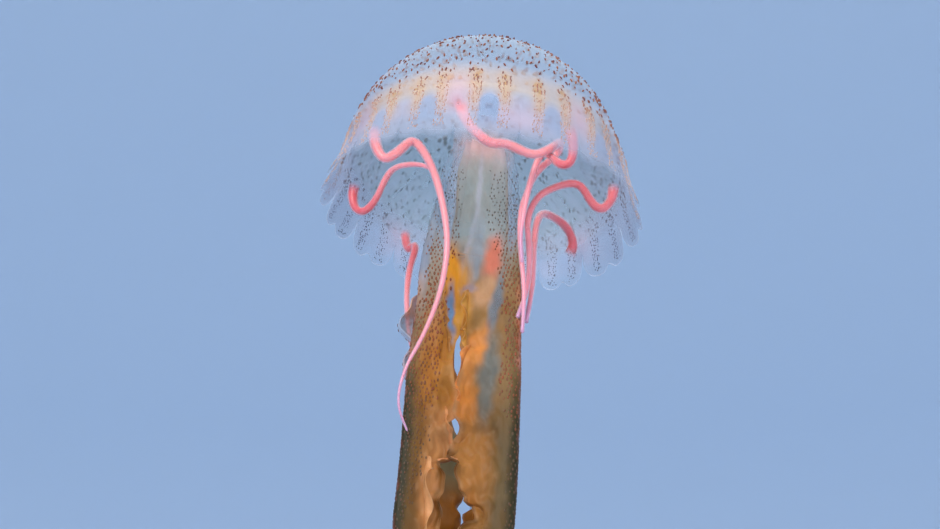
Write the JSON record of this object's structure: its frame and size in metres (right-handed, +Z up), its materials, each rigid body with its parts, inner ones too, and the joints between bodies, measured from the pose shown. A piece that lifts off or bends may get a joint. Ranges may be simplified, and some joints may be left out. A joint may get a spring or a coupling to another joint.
{
  "type": "mauve stinger jellyfish",
  "caption": "Life-size mauve stinger jellyfish with a warty domed bell, scalloped lappets, curling tentacles and frilled oral arms, held over a flat base by a steel rod",
  "frame": {"origin": "centre of the stand base's underside", "axes": "+Z up along the rod, -Y the side from which the underside of the banked bell is seen, +X to the right of that view"},
  "size_m": [0.124, 0.124, 0.2527],
  "materials": {
    "bell_jelly": "wet, clear lilac-grey jelly with red-brown warts",
    "arm_tissue": "wet golden-brown tissue with warts and peach frills",
    "tentacle_tissue": "wet, smooth coral pink",
    "stand_base": "satin black",
    "stand_steel": "fine brushed"
  },
  "bodies": {
    "root": {"arm_back_left_lower": "arm_tissue", "arm_back_left_middle": "arm_tissue", "arm_back_left_upper": "arm_tissue", "arm_back_right_lower": "arm_tissue", "arm_back_right_middle": "arm_tissue", "arm_back_right_upper": "arm_tissue", "arm_front_left_lower": "arm_tissue", "arm_front_left_middle": "arm_tissue", "arm_front_left_upper": "arm_tissue", "arm_front_right_lower": "arm_tissue", "arm_front_right_middle": "arm_tissue", "arm_front_right_upper": "arm_tissue", "bell_crown": "bell_jelly", "bell_wall_1": "bell_jelly", "bell_wall_2": "bell_jelly", "bell_wall_3": "bell_jelly", "bell_wall_4": "bell_jelly", "bell_wall_5": "bell_jelly", "bell_wall_6": "bell_jelly", "bell_wall_7": "bell_jelly", "bell_wall_8": "bell_jelly", "mouth_tube": "arm_tissue", "stand_base": "stand_base", "stand_collar": "stand_steel", "stand_pad": "stand_steel", "stand_rod": "stand_steel", "tentacle_back_1": "tentacle_tissue", "tentacle_back_2": "tentacle_tissue", "tentacle_back_left_1": "tentacle_tissue", "tentacle_back_left_2": "tentacle_tissue", "tentacle_back_right_1": "tentacle_tissue", "tentacle_back_right_2": "tentacle_tissue", "tentacle_front_1": "tentacle_tissue", "tentacle_front_2": "tentacle_tissue", "tentacle_front_3": "tentacle_tissue", "tentacle_front_left_1": "tentacle_tissue", "tentacle_front_left_2": "tentacle_tissue", "tentacle_front_left_3": "tentacle_tissue", "tentacle_front_right_1": "tentacle_tissue", "tentacle_front_right_2": "tentacle_tissue", "tentacle_left_1": "tentacle_tissue", "tentacle_left_2": "tentacle_tissue", "tentacle_right_1": "tentacle_tissue", "tentacle_right_2": "tentacle_tissue"}
  },
  "joints": []
}
